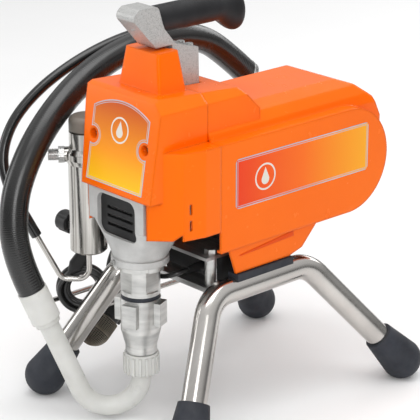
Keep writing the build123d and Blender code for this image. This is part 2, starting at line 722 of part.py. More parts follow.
def screw_positions():
    """The two recessed screws in the front face, as (x, y of the face, z)."""
    z = 344.0
    slope = (FACE_HIGH[0] - FACE_LOW[0]) / (FACE_HIGH[1] - FACE_LOW[1])
    y = FACE_LOW[0] + slope * (z - FACE_LOW[1])
    return [(side * 44.0, y, z) for side in (-1, 1)]


def front_cover(shell):
    """The front part of the shell, with its two screw cups."""
    cover = shell & block((-200, 200), (-300, SEAM_Y), (0, 500))
    for x, y, z in screw_positions():
        cup = rod((x, y + 1, z), (x, y + 13, z), 8)
        cover += cup
        cover -= rod((x, y - 10, z), (x, y + 10, z), 6)
        cover -= rod((x, y, z), (x, y + 20, z), 2.6)
    for low in SLOT_ZS:
        cover -= block((60, 95), (PUMP_Y + 4, PUMP_Y + 7), (low, low + 12))
    return cover


def motor_cover(shell):
    """The rest of the shell, over the motor."""
    return shell & block((-200, 200), (SEAM_Y, 300), (0, 500))


def cover_screws():
    """Two pan-head screws at the bottom of the cups."""
    screws = []
    for x, y, z in screw_positions():
        screws.append(rod((x, y + 7, z), (x, y + 10, z), 4.5) + rod((x, y + 10, z), (x, y + 19, z), 2.5))
    return Compound(screws)


def front_label():
    """The thin plate on the front face: an arched top and a notch round each screw."""
    (y_low, z_low), (y_high, z_high) = FACE_LOW, FACE_HIGH
    lean = math.degrees(math.atan2(y_high - y_low, z_high - z_low))
    plane = Plane(origin=(0, y_low, z_low), x_dir=(1, 0, 0), z_dir=(0, -math.cos(math.radians(lean)),
                  math.sin(math.radians(lean))))
    half, low, high, arch = 48.0, 7.0, 92.0, 13.0
    with BuildSketch() as sheet:
        with BuildLine():
            Polyline((half, high), (half, low), (-half, low), (-half, high))
            ThreePointArc((-half, high), (0, high + arch), (half, high))
        make_face()
        with Locations((-44, 58), (44, 58)):
            Circle(10, mode=Mode.SUBTRACT)
    return extrude(plane * sheet.sketch, amount=0.4)


def side_label():
    """The long thin plate on the +X pod."""
    low_y, high_y = PUMP_Y + 69, PUMP_Y + 284
    plane = Plane(origin=(POD_X, (low_y + high_y) / 2, 292.5), x_dir=(0, 1, 0), z_dir=(1, 0, 0))
    return extrude(plane * RectangleRounded(high_y - low_y, 59, 5), amount=0.4)


# ---------------------------------------------------------------- handle
def handle_bracket():
    """The cast arm: a foot behind the tower and an arm that leans forward to the grip."""
    outline = [(PUMP_Y + 38, CAST_HIGH), (PUMP_Y + 78, CAST_HIGH), (PUMP_Y + 77, 437), (PUMP_Y + 43, 447),
               (PUMP_Y + 27, 466), (PUMP_Y + 18, 493), (PUMP_Y - 10, 493), (PUMP_Y - 20, 484),
               (PUMP_Y + 14, 446), (PUMP_Y + 38, 446)]
    arm = side_profile(outline, BRACKET_X)
    arm = fillet(arm.edges().filter_by(Axis.X).sort_by(Axis.Z)[-3:], 7)
    arm -= handle_screws()
    return group(arm - handle_core(), handle_core())


def handle_core():
    """The steel bar inside the grip."""
    return rod((0, PUMP_Y - 6, GRIP_Z), (0, GRIP_Y[1] - 12, GRIP_Z), GRIP_BAR_R)


def handle_grip():
    """The rubber grip: a round sleeve with a hooked end."""
    low, high = GRIP_Y
    straight = high - 44
    sleeve = rod((0, low, GRIP_Z), (0, straight, GRIP_Z), GRIP_R)
    sections = []
    for back, drop, wide, tall in ((44, 0, 0, 0), (30, 2, 0.2, 2), (17, 6, 0.8, 7), (7, 7.5, 0.5, 7.5), (0, 8, -4, 2)):
        plane = Plane(origin=(0, high - back, GRIP_Z - drop), x_dir=(1, 0, 0), z_dir=(0, 1, 0))
        sections.append((plane * Ellipse(GRIP_R + wide, GRIP_R + tall)).face())
    grip = sleeve + loft(sections) - handle_bracket_space()
    return grip - rod((0, low - 5, GRIP_Z), (0, high - 12, GRIP_Z), GRIP_BAR_R)


def handle_bracket_space():
    """The space that the arm takes from the grip's front end."""
    return side_profile([(PUMP_Y - 10, 420), (PUMP_Y + 60, 420), (PUMP_Y + 43, 447), (PUMP_Y + 27, 466),
                         (PUMP_Y + 18, 493), (PUMP_Y + 18, 500), (PUMP_Y - 10, 500)], 30)


def handle_screws():
    """Two cap screws that hold the bracket's foot to the casting."""
    screws = []
    for x in (-7, 7):
        y = PUMP_Y + 70
        screws.append(upright(2.5, CAST_HIGH - 5, 436.5, x, y) + upright(4.5, 436.5, 441, x, y))
    return Compound(screws)


# ---------------------------------------------------------------- filter and drain
def filter_bowl():
    """The polished bowl, closed below."""
    bowl = upright(BOWL_R, BOWL_Z, BOWL_TOP, BOWL_X, BOWL_Y)
    bowl = chamfer(bowl.faces().sort_by(Axis.Z)[0].edges(), 2.5)
    bowl -= upright(BOWL_R - 5, BOWL_Z + 6, BOWL_TOP + 1, BOWL_X, BOWL_Y)
    bowl -= upright(3.25, BOWL_Z - 1, BOWL_Z + 7, BOWL_X, BOWL_Y)
    return bowl - rod((BOWL_X, BOWL_Y, DRAIN_Z), (BOWL_X - 40, BOWL_Y, DRAIN_Z), 6)


def filter_element():
    """The mesh cartridge inside the bowl."""
    return upright(12, BOWL_Z + 10, BOWL_TOP - 2, BOWL_X, BOWL_Y) - upright(9, BOWL_Z + 9, BOWL_TOP, BOWL_X, BOWL_Y)


def filter_head():
    """The head over the bowl: a flared collar, a neck and the outlet boss."""
    with BuildPart() as turned:
        with BuildSketch(Plane.XZ.offset(-BOWL_Y)):
            with Locations((BOWL_X, 0)):
                Polygon((0, BOWL_TOP), (23, BOWL_TOP), (25, 299), (25, 306), (20.5, 312), (20.5, 331),
                        (0, 331), align=None)
        revolve(axis=Axis((BOWL_X, BOWL_Y, 0), (0, 0, 1)))
    boss = Vector(BOWL_X, BOWL_Y, OUTLET_Z)
    head = turned.part + rod(boss, boss + OUTLET_DIR * OUTLET_REACH, 9)
    head += rod((BOWL_X, BOWL_Y, ARM_Z), (-CAST_X, BOWL_Y, ARM_Z), 8)
    head -= rod(boss + OUTLET_DIR * 15, boss + OUTLET_DIR * (OUTLET_REACH + 1), 5)
    return head


def filter_cap():
    """The grey plastic cap on the head."""
    cap = upright(20.5, 333, 350, BOWL_X, BOWL_Y)
    cap = fillet(cap.faces().sort_by(Axis.Z)[-1].edges(), 7)
    return cap + upright(17, 331, 333, BOWL_X, BOWL_Y)


def outlet_fitting():
    """The nipple for the high-pressure hose: a hexagon and a threaded end."""
    boss = Vector(BOWL_X, BOWL_Y, OUTLET_Z)
    start = boss + OUTLET_DIR * OUTLET_REACH
    fitting = rod(boss + OUTLET_DIR * 16, start, 5) + hexagon(start, start + OUTLET_DIR * 7, 17)
    fitting += rod(start + OUTLET_DIR * 7, start + OUTLET_DIR * (7 + NIPPLE_LENGTH), NIPPLE_R)
    return fitting - rod(boss + OUTLET_DIR * 15, start + OUTLET_DIR * 40, 3)


def drain_valve():
    """The valve body on the bowl's far side."""
    body = rod((BOWL_X - 16, BOWL_Y, DRAIN_Z), (KNOB_X[1] - 0.4, BOWL_Y, DRAIN_Z), 6)
    body += hexagon((BOWL_X - 22.5, BOWL_Y, DRAIN_Z), (KNOB_X[1] + 1.5, BOWL_Y, DRAIN_Z), 15)
    return body - rod((BOWL_X - 10, BOWL_Y, DRAIN_Z), (KNOB_X[1] - 5, BOWL_Y, DRAIN_Z), 3.05)


def drain_knob():
    """The round black knob and its stem; a quarter turn switches from spray to prime."""
    knob = rod((KNOB_X[1] - 0.8, BOWL_Y, DRAIN_Z), (KNOB_X[0], BOWL_Y, DRAIN_Z), 13)
    knob = fillet(knob.faces().sort_by(Axis.X)[0].edges(), 4)
    for k in range(4):
        notch = Rot(45 + 90 * k, 0, 0) * Pos(0, 0, 15.5) * Rot(0, 90, 0) * Cylinder(4, 40)
        knob -= Pos((KNOB_X[0] + KNOB_X[1]) / 2, BOWL_Y, DRAIN_Z) * notch
    stem = rod((KNOB_X[1] - 2, BOWL_Y, DRAIN_Z), (BOWL_X - 18, BOWL_Y, DRAIN_Z), 3)
    return knob + stem


def drain_tube():
    """The thin steel tube from the bowl down and round to the drain hose."""
    points = [(BOWL_X, BOWL_Y, BOWL_Z + 6), (BOWL_X, BOWL_Y, 147), (BOWL_X - 22, BOWL_Y - 24, 147),
              tuple(DRAIN_END)]
    return bent(points, [14, 13], 3.25, 2.25)


# ---------------------------------------------------------------- hoses
HOSE_START = arm_point(COUPLING_Z[1])
HOSE_END = Vector(SUCTION_X, PUMP_Y + 286.0, 339.0)
HOSE_BENDS = [(-97, -106.3, 262), (-104, -81.3, 307), (-114, -37.3, 348), (-125, 22.7, 382), (-130, 88.7, 403),
              (-129, 156.7, 408), (-130, 212.7, 396)]
HOSE_ROUTE = [tuple(HOSE_START), tuple(HOSE_START + ARM_DIR * 46), *from_pump(HOSE_BENDS),
              (SUCTION_X, PUMP_Y + 251, 370), tuple(HOSE_END)]
DRAIN_END = Vector(BOWL_X - 39.0, BOWL_Y - 47.0, 203.0)
DRAIN_RISE = Vector(-17, -23, 56).normalized()
DRAIN_BENDS = [(-156, -67.3, 258), (-172, -65.3, 292), (-180, -43.3, 328), (-178, -7.3, 359),
               (-171, 34.7, 383), (-163, 80.7, 401), (-156, 128.7, 411), (-154, 176.7, 410),
               (-155, 222.7, 397), (-156, 266.7, 375), (-157, 304.7, 344), (-158, 326.7, 302),
               (-158, 322.7, 256), (-155, 298.7, 216)]
DRAIN_ROUTE = [tuple(DRAIN_END), tuple(DRAIN_END + DRAIN_RISE * 29), *from_pump(DRAIN_BENDS)]
TUBE_CORNER = tuple(HOSE_END + (HOSE_END - Vector(*HOSE_ROUTE[-2])).normalized() * 47)
STRAINER_CENTRE = Vector(SUCTION_X, PUMP_Y + 36.0, 58.0)
STRAINER_DIR = (STRAINER_CENTRE - Vector(*TUBE_CORNER)).normalized()
BASKET_R = 20.5


def suction_tube():
    """The steel tube that hangs from the hose: down and back, then forward to the strainer."""
    return bent([tuple(HOSE_END), TUBE_CORNER, tuple(STRAINER_CENTRE - STRAINER_DIR * 36)], 34, SUCTION_R, 7.8)


def hose_ferrule():
    """The dark ring crimped on the hose's end."""
    axis = (Vector(*TUBE_CORNER) - HOSE_END).normalized()
    return ring(HOSE_END, HOSE_END + axis * 7, HOSE_R + 0.5, SUCTION_R)


def strainer_collar():
    """The black collar between the tube and the basket, with a lug."""
    start = STRAINER_CENTRE - STRAINER_DIR * 36
    collar = rod(start - STRAINER_DIR * 8, start, 13) + rod(start, start + STRAINER_DIR * 14, 18)
    side = Vector(0, 0, 1).cross(STRAINER_DIR).normalized().cross(STRAINER_DIR).normalized()
    lug_at = start + STRAINER_DIR * 7 + side * 20
    collar += Location(Plane(origin=lug_at, x_dir=side, z_dir=STRAINER_DIR)) * Box(10, 9, 9)
    return collar - rod(start - STRAINER_DIR * 9, start, SUCTION_R) - rod(start, start + STRAINER_DIR * 15, 7)


def strainer_basket():
    """The mesh basket, a closed shape with a domed end."""
    start = STRAINER_CENTRE - STRAINER_DIR * 22
    basket = rod(start, STRAINER_CENTRE, BASKET_R) + Pos(*STRAINER_CENTRE) * Sphere(BASKET_R)
    inner = rod(start - STRAINER_DIR, STRAINER_CENTRE, BASKET_R - 2) + Pos(*STRAINER_CENTRE) * Sphere(BASKET_R - 2)
    return basket - inner


def return_nozzle():
    """The short end piece of the drain hose, clipped to the suction tube."""
    end = Vector(*DRAIN_ROUTE[-1])
    axis = (end - Vector(*DRAIN_ROUTE[-2])).normalized()
    return ring(end, end + axis * 45, 4.5, 3)


# ---------------------------------------------------------------- electrics
def control_box():
    """The black electronics box under the base plate."""
    shell = block((-48, 48), BOX_Y, BOX_Z)
    shell = fillet(shell.edges().filter_by(Axis.Z), 5)
    return shell - block((-45, 45), (BOX_Y[0] + 3, BOX_Y[1] - 3), (BOX_Z[0] + 3, BOX_Z[1] + 1))


def circuit_board():
    """The board inside the control box, with its parts."""
    y, z = BOX_Y[0], BOX_Z[0]
    board = block((-40, 40), (y + 6, BOX_Y[1] - 6), (z + 6, z + 8))
    for x in (-28, -10, 12, 30):
        board += block((x - 6, x + 6), (y + 12, y + 30), (z + 8, z + 24))
    return board


def control_panel():
    """The black plate on the -X pod that carries the switch and the pressure knob."""
    plate = block((PANEL_X - 3, PANEL_X), (PUMP_Y + 110, PUMP_Y + 210), (255, 315))
    plate = fillet(plate.edges().filter_by(Axis.X), 8)
    plate -= block((PANEL_X - 4, PANEL_X + 1), (SWITCH_Y - 8, SWITCH_Y + 8), (SWITCH_Z - 13, SWITCH_Z + 13))
    plate += switch_frame()
    return plate - rod((PANEL_X - 5, KNOB_Y, SWITCH_Z), (PANEL_X + 5, KNOB_Y, SWITCH_Z), 5)


def switch_frame():
    """The frame of the rocker switch, let into the panel."""
    y, z = SWITCH_Y, SWITCH_Z
    frame = block((PANEL_X - 5, PANEL_X), (y - 8, y + 8), (z - 13, z + 13))
    return frame - block((PANEL_X - 6, PANEL_X + 1), (y - 6.3, y + 6.3), (z - 11.3, z + 11.3))


def switch_rocker():
    """The rocker, which tips about an axle along Y."""
    y, z = SWITCH_Y, SWITCH_Z
    outline = [(PANEL_X - 1, z - 8), (PANEL_X - 1, z + 8), (PANEL_X - 6, z + 10.2), (PANEL_X - 4.6, z),
               (PANEL_X - 6, z - 10.2)]
    shape = Plane.XZ.offset(-(y - 5.8)) * Polygon(*outline, align=None)
    axle = rod((PANEL_X - 1, y - 6.2, z), (PANEL_X - 1, y + 6.2, z), 0.9)
    return extrude(shape, amount=-11.6) + axle


def pressure_knob():
    """The round pressure knob and its spindle."""
    low, high = PANEL_X - 3.5, PANEL_X - 19
    knob = rod((low, KNOB_Y, SWITCH_Z), (high, KNOB_Y, SWITCH_Z), 17)
    knob = fillet(knob.faces().sort_by(Axis.X)[0].edges(), 3)
    for k in range(12):
        flute = Rot(30 * k, 0, 0) * Pos(0, 0, 18.5) * Rot(0, 90, 0) * Cylinder(2.6, 40)
        knob -= Pos((low + high) / 2, KNOB_Y, SWITCH_Z) * flute
    knob -= block((high - 1, high + 1), (KNOB_Y - 1, KNOB_Y + 1), (SWITCH_Z + 4, SWITCH_Z + 14))
    return knob + rod((low, KNOB_Y, SWITCH_Z), (PANEL_X + 4, KNOB_Y, SWITCH_Z), 4)


CORD_START = Vector(GLAND_X, BOX_Y[0] - 30, GLAND_Z)


def cord_gland():
    """The tapered strain relief on the front of the control box."""
    wall = Vector(GLAND_X, BOX_Y[0], CORD_START.Z)
    plane = Plane(origin=wall, z_dir=(0, -1, 0))
    relief = loft([(plane * Circle(7)).face(), (plane.offset(30) * Circle(4.2)).face()])
    return relief + rod(wall, wall - Vector(0, 5, 0), 9)


CORD_BENDS = [(24, 39.7, 177), (17, 31.7, 173), (3, 28.7, 168.5), (-18, 29.7, 167),
              (-42, 33.7, 170), (-66, 38.7, 176.5), (-84, 42.7, 181), (-97, 42.7, 174),
              (-103.5, 39.7, 158), (-106.2, 37, 139)]
CORD_ROUTE = [tuple(CORD_START), *from_pump(CORD_BENDS)]
COIL_CENTRE = Vector(-124.5, PUMP_Y + 15.0, 120.5)
COIL_NORMAL = Vector(-0.739, 0.673, 0)
COIL_R = 25.0
COIL_HALF = 8.0


def cord_coil():
    """The outside shape of the coiled mains cord."""
    plane = Plane(origin=COIL_CENTRE, x_dir=Vector(0.673, 0.739, 0), z_dir=COIL_NORMAL)
    coil = Solid.make_torus(COIL_R, COIL_HALF, plane)
    return coil


def plug():
    """A slim two-pin plug that rests against the coil."""
    across = Vector(0.673, 0.739, 0)
    axis = across * 0.6 + Vector(0, 0, 0.8)
    end = COIL_CENTRE + Vector(0, 0, 26) - across * 14 - COIL_NORMAL * 12.5
    base = Plane(origin=end, x_dir=COIL_NORMAL, z_dir=axis)
    neck = loft([(base * Circle(4)).face(), (base.offset(10) * RectangleRounded(10, 17, 4)).face()])
    body = extrude(base.offset(10) * RectangleRounded(10, 17, 4), amount=22)
    shape = neck + body
    for rise in (-6, 6):
        shape += extrude(base.offset(32) * Pos(0, rise) * Circle(2), amount=18)
    return shape


# ---------------------------------------------------------------- write the nodes
def group(*pieces):
    """Separate solids that share one node."""
    solids = []
    for piece in pieces:
        solids.extend(piece.solids())
    return Compound(solids)


def write_stand():
    """The stand and what joins it to the base plate."""
    save("right_stand_tube", stand_tube())
    save("left_stand_tube", mirrored(stand_tube()))
    boots = [foot(True), foot(False)]
    save("rubber_feet", group(*boots, *[mirrored(boot) for boot in boots]))
    save("cross_bars", group(*[cross_bar(y) for y in BAR_YS]))
    save("base_plate", base_plate())
    save("plate_spacers", group(posts()))
    save("plate_bolts", group(post_bolts(), post_nuts()))
    save("skirt_strips", group(skirt_strip(), mirrored(skirt_strip())))
    save("suction_rack", suction_rack())


def write_pump():
    """The casting, the fluid section and its moving parts."""
    save("gearbox_housing", gearbox_housing())
    save("rod_guard", rod_guard())
    save("jam_ring", jam_ring())
    save("pump_cylinder", pump_cylinder())
    save("seats_and_seals", group(cylinder_o_ring(), throat_packings(), foot_valve_seat()))
    save("packing_nut", packing_nut())
    save("foot_valve_housing", foot_valve_housing())
    save("foot_valve_ball", foot_valve_ball())
    save("suction_nut", suction_nut())
    save("suction_elbow", suction_elbow())
    save("hose_coupling", hose_coupling())
    save("yoke", yoke())
    save("piston_rod", piston_rod())
    save("piston_ball", piston_ball())
    save("crank_gear", crank_gear())
    save("intermediate_gear", intermediate_gear())
    save("bearings", group(gear_bearings(), motor_bearings()))


def write_motor():
    """The motor and its fan."""
    save("motor_stator", group(motor_housing(), stator_magnets()))
    save("motor_end_bell", motor_end_bell())
    save("motor_rotor", rotor() + motor_pinion())
    save("cooling_fan", cooling_fan())


def write_covers():
    """The orange shell in two parts, its labels and screws, and the handle."""
    shell = covers()
    save("front_cover", front_cover(shell))
    save("motor_cover", motor_cover(shell))
    save("labels", group(front_label(), side_label()))
    save("screws", group(cover_screws(), handle_screws(), flange_screw()))
    save("handle_bracket", handle_bracket())
    save("handle_grip", handle_grip())


def write_filter():
    """The filter column with its outlet and drain."""
    save("filter_bowl", filter_bowl())
    save("filter_element", filter_element())
    save("filter_head", filter_head())
    save("filter_cap", filter_cap())
    save("outlet_fitting", outlet_fitting())
    save("drain_valve", drain_valve())
    save("drain_knob", drain_knob())
    save("drain_tube", drain_tube())


def write_hoses():
    """The two hoses, the suction tube and the strainer."""
    save("suction_hose", cord_tube("suction_hose", HOSE_ROUTE, HOSE_R))
    save("drain_hose", cord_tube("drain_hose", DRAIN_ROUTE, DRAIN_HOSE_R))
    save("hose_ferrule", hose_ferrule())
    save("suction_tube", suction_tube())
    save("strainer_collar", strainer_collar())
    save("strainer_basket", strainer_basket())
    save("return_nozzle", return_nozzle())


def write_electrics():
    """The control box, the panel and the mains lead."""
    save("control_box", control_box())
    save("circuit_board", circuit_board())
    save("control_panel", control_panel())
    save("switch_rocker", switch_rocker())
    save("pressure_knob", pressure_knob())
    save("cord_gland", cord_gland())
    save("mains_cord", cord_tube("mains_cord", CORD_ROUTE, CORD_R))
    save("cord_coil", cord_coil())
    save("plug", plug())


write_stand()
write_pump()
write_motor()
write_covers()
write_filter()
write_hoses()
write_electrics()
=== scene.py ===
# %% [markdown]
# # Dressing an airless paint sprayer
# The machine is a piston pump and a motor under a moulded orange shell, on a stand bent from two
# polished tubes. Its solid parts come from a CAD model and stay where they are. This lesson gives each
# of them a finish that reads at close range, lays the hoses and the lead as smooth curves, and models
# the small details that a maker would notice: threads, ribs, a woven strainer and a pressure scale.

# %% Load the solid parts
import math

import bpy
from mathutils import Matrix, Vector


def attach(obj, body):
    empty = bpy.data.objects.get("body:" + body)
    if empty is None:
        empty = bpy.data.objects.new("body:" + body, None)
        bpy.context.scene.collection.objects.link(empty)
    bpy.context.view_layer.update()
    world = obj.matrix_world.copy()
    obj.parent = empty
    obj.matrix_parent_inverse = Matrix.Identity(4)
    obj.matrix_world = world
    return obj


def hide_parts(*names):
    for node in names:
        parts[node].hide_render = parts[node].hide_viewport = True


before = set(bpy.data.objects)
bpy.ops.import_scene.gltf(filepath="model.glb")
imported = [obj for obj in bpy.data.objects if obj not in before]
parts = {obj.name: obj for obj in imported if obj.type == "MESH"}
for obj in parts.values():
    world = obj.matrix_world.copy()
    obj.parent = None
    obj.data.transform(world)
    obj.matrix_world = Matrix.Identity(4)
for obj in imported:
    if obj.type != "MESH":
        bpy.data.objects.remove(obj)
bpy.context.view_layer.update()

# %% [markdown]
# ## Camera
# A long lens far away keeps the machine's upright lines nearly parallel, as in a catalogue picture.
# The view is from the front right and a little above. The camera is aimed at a point above the
# machine's middle, so no lens shift is needed.

# %% Place the camera
AZIMUTH = math.radians(47.67)
ELEVATION = math.radians(20.74)
DISTANCE = 2.321
LENS = 168.6
AIM_UP = 0.0417
AIM_RIGHT = 0.0040

look = Vector((-math.sin(AZIMUTH) * math.cos(ELEVATION), math.cos(AZIMUTH) * math.cos(ELEVATION),
               -math.sin(ELEVATION)))
middle = Vector((0, -0.0057, 0.1875))
right = look.cross(Vector((0, 0, 1))).normalized()
upward = right.cross(look)
aim = middle + upward * AIM_UP + right * AIM_RIGHT
place = middle - look * DISTANCE
camera_data = bpy.data.cameras.new("camera")
camera_data.lens = LENS
camera_data.sensor_width = 36
camera_data.clip_end = 30
camera = bpy.data.objects.new("camera", camera_data)
camera.location = place
camera.rotation_euler = (aim - place).to_track_quat("-Z", "Y").to_euler()
bpy.context.scene.collection.objects.link(camera)
bpy.context.scene.camera = camera
print("camera at", tuple(round(v, 3) for v in place))

# %% [markdown]
# ## Hoses and lead
# A hose has a fixed length and bends gently. A NURBS curve whose control points follow the route gives
# that line, and the curve's own round bevel gives the thickness. The bevel is one metre deep and each
# point's radius scales it down, so that the curve's bounding box keeps to the hose. The thick hose
# carries paint up from the strainer, the thin one carries it back to the bucket, and the lead is wound
# into a small coil.

# %% A helper that lays a round cord along its route
def lay_cord(name, route, radius):
    data = bpy.data.curves.new(name, "CURVE")
    data.dimensions = "3D"
    spline = data.splines.new("NURBS")
    spline.points.add(len(route) - 1)
    for point, place_mm in zip(spline.points, route):
        point.co = (place_mm[0] / 1000, place_mm[1] / 1000, place_mm[2] / 1000, 1)
        point.radius = radius / 1000
    spline.order_u = 3
    spline.use_endpoint_u = True
    data.resolution_u = 10
    data.bevel_depth = 1.0
    data.bevel_resolution = 7
    data.use_fill_caps = True
    cord = bpy.data.objects.new(name, data)
    bpy.context.scene.collection.objects.link(cord)
    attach(cord, "sprayer")
    print(name, "route points:", len(route))
    return cord


# %% The thick suction hose
suction_route = [(-74.69, -208.28, 164), (-85.25, -222.37, 206.5), (-97, -215, 262), (-104, -190, 307),
                 (-114, -146, 348), (-125, -86, 382), (-130, -20, 403), (-129, 48, 408), (-130, 104, 396),
                 (-130, 142.3, 370), (-130, 177.3, 339)]
suction_line = lay_cord("suction_line", suction_route, 16.5)
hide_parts("suction_hose")

# %% The thin drain hose
drain_route = [(-129, -158.2, 203), (-136.84, -168.81, 228.83), (-156, -176, 258), (-172, -174, 292),
               (-180, -152, 328), (-178, -116, 359), (-171, -74, 383), (-163, -28, 401), (-156, 20, 411),
               (-154, 68, 410), (-155, 114, 397), (-156, 158, 375), (-157, 196, 344), (-158, 218, 302),
               (-158, 214, 256), (-155, 190, 216)]
drain_line = lay_cord("drain_line", drain_route, 6.5)
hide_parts("drain_hose")

# %% [markdown]
# The lead leaves its gland, crosses behind the pump and comes down into a coil of seven turns. Each
# turn keeps its own place in the bundle, six round one, and slips over to the next place as it goes.

# %% The mains lead with its coil
COIL_CENTRE = Vector((-124.5, -93.7, 120.5))
COIL_ACROSS = Vector((0.673, 0.739, 0))
COIL_NORMAL = Vector((-0.739, 0.673, 0))
COIL_RADIUS = 25
COIL_STEP = math.radians(30)
PLACES = [(6, 0), (3, 5.2), (-3, 5.2), (-6, 0), (0, 0), (-3, -5.2), (3, -5.2)]
STEPS = 12


def coil_point(angle, outward, sideways):
    reach = COIL_RADIUS + outward
    return (COIL_CENTRE + COIL_ACROSS * (reach * math.cos(angle)) - Vector((0, 0, reach * math.sin(angle)))
            + COIL_NORMAL * sideways)


lead_route = [(24, -57.7, 177), (24, -69, 177), (17, -77, 173), (3, -80, 168.5), (-18, -79, 167),
              (-42, -75, 170), (-66, -70, 176.5), (-84, -66, 181), (-97, -66, 174), (-103.5, -69, 158),
              (-105.5, -71, 139)]
for step in range(STEPS * len(PLACES)):
    turn, share = divmod(step, STEPS)
    here = Vector(PLACES[turn])
    following = Vector(PLACES[min(turn + 1, len(PLACES) - 1)])
    slip = max(0, (share - 7) / 5)
    offset = here.lerp(following, slip)
    lead_route.append(coil_point((step + 0.5) * COIL_STEP, offset.x, offset.y))
for step in range(7):
    lead_route.append(coil_point((step + 0.5) * COIL_STEP, 3 + step * 0.2, -5.4 - step * 0.75))
plug_axis = COIL_ACROSS * 0.6 + Vector((0, 0, 0.8))
plug_neck = COIL_CENTRE + Vector((0, 0, 26)) - COIL_ACROSS * 14 - COIL_NORMAL * 12.5
lead_route += [plug_neck - plug_axis * 9, plug_neck]
mains_line = lay_cord("mains_line", lead_route, 3)
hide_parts("mains_cord", "cord_coil")

# %% [markdown]
# ## Finishes
# Every finish is a Principled shader fed by a few procedural textures on Object coordinates, so grain
# and scratches have their real size on every part. A Bevel node rounds the light along hard edges, as
# the small radius on a real moulding or casting does.

# %% Helpers for building a finish
class Finish:
    """A material under construction: its shader and short ways to add nodes."""

    def __init__(self, name, metallic=0.0, roughness=0.5, **sockets):
        self.material = bpy.data.materials.new(name)
        self.material.use_nodes = True
        self.tree = self.material.node_tree
        self.shader = self.tree.nodes["Principled BSDF"]
        self.set("Metallic", metallic)
        self.set("Roughness", roughness)
        for socket, value in sockets.items():
            self.set(socket.replace("_", " "), value)
        self.where = self.tree.nodes.new("ShaderNodeTexCoord").outputs["Object"]

    def set(self, socket, value):
        self.shader.inputs[socket].default_value = value

    def join(self, source, socket):
        self.tree.links.new(source, socket)

    def node(self, kind, **inputs):
        made = self.tree.nodes.new(kind)
        for name, value in inputs.items():
            socket = made.inputs[name.replace("_", " ")]
            if hasattr(value, "links"):
                self.join(value, socket)
            else:
                socket.default_value = value
        return made

    def mapped(self, scale=(1, 1, 1), turn=(0, 0, 0), source=None):
        made = self.tree.nodes.new("ShaderNodeMapping")
        self.join(source or self.where, made.inputs["Vector"])
        made.inputs["Scale"].default_value = scale
        made.inputs["Rotation"].default_value = turn
        return made.outputs["Vector"]

    def noise(self, scale, detail=4.0, stretch=(1, 1, 1), turn=(0, 0, 0), rough=0.5):
        made = self.node("ShaderNodeTexNoise", Vector=self.mapped(stretch, turn), Scale=scale, Detail=detail,
                         Roughness=rough)
        return made.outputs["Fac"]

    def calc(self, operation, first, second=None, third=None):
        made = self.tree.nodes.new("ShaderNodeMath")
        made.operation = operation
        for socket, value in zip(made.inputs, (first, second, third)):
            if value is None:
                continue
            if hasattr(value, "links"):
                self.join(value, socket)
            else:
                socket.default_value = value
        return made.outputs[0]

    def ramp(self, factor, *stops):
        made = self.tree.nodes.new("ShaderNodeValToRGB")
        self.join(factor, made.inputs["Fac"])
        points = made.color_ramp.elements
        while len(points) < len(stops):
            points.new(0.5)
        for point, (at, colour) in zip(points, stops):
            point.position = at
            point.color = (*colour, 1)
        return made.outputs["Color"]

    def spread(self, factor, low, high, at=(0.3, 0.7)):
        made = self.node("ShaderNodeMapRange", Value=factor)
        for name, value in zip(("From Min", "From Max", "To Min", "To Max"), (*at, low, high)):
            made.inputs[name].default_value = value
        return made.outputs["Result"]

    def colour(self, source):
        self.join(source, self.shader.inputs["Base Color"])

    def roughness(self, source):
        self.join(source, self.shader.inputs["Roughness"])

    def relief(self, height, strength, depth, edge=0.0):
        made = self.node("ShaderNodeBump", Strength=strength, Distance=depth, Height=height)
        if edge:
            bevel = self.node("ShaderNodeBevel", Radius=edge)
            bevel.samples = 4
            self.join(bevel.outputs["Normal"], made.inputs["Normal"])
        self.join(made.outputs["Normal"], self.shader.inputs["Normal"])


finishes = {}
print("finish helper ready")

# %% [markdown]
# The shell is glossy moulded plastic. Its colour drifts a little over its length, an orange tint on the
# specular keeps pale reflections from washing it out, and a faint orange peel softens them.

# %% Orange shell
shell = Finish("orange_shell", 0.0, 0.25, Coat_Weight=0.10, Coat_Roughness=0.06,
               Specular_Tint=(1.0, 0.50, 0.10, 1.0))
shell.colour(shell.ramp(shell.noise(7), (0.3, (0.90, 0.128, 0.0002)), (0.7, (0.95, 0.150, 0.0002))))
shell.roughness(shell.spread(shell.noise(60), 0.18, 0.28))
shell.relief(shell.noise(700, 2.0), 0.02, 0.0003, edge=0.0040)
finishes["orange_shell"] = shell.material
print("made", shell.material.name)

# %% [markdown]
# The castings are light grey enamel over a sand-cast skin: a fine pebble, a few dull patches, and
# soft edges. The carry bracket has the same paint with a dark speckle in it.

# %% Cast enamel
casting = Finish("grey_casting", 0.3, 0.42)
casting.colour(casting.ramp(casting.noise(55, 6), (0.3, (0.48, 0.48, 0.47)), (0.75, (0.60, 0.60, 0.59))))
casting.roughness(casting.spread(casting.noise(25), 0.34, 0.52))
casting.relief(casting.noise(420, 5), 0.28, 0.0006, edge=0.0018)
finishes["grey_casting"] = casting.material

speckled = Finish("speckled_enamel", 0.35, 0.36)
speckle = speckled.noise(1100, 2.0)
speckled.colour(speckled.ramp(speckle, (0.30, (0.24, 0.24, 0.24)), (0.42, (0.42, 0.42, 0.41)),
                              (0.8, (0.56, 0.56, 0.55))))
speckled.roughness(speckled.spread(speckled.noise(30), 0.28, 0.42))
speckled.relief(speckle, 0.16, 0.0004, edge=0.0016)
finishes["speckled_enamel"] = speckled.material
print("made casting finishes")

# %% [markdown]
# Polished stainless tube shows long soft streaks from its polishing belt. All the metals share one
# recipe: a stretched noise for the streaks, a finer one for the roughness, and a colour of their own.

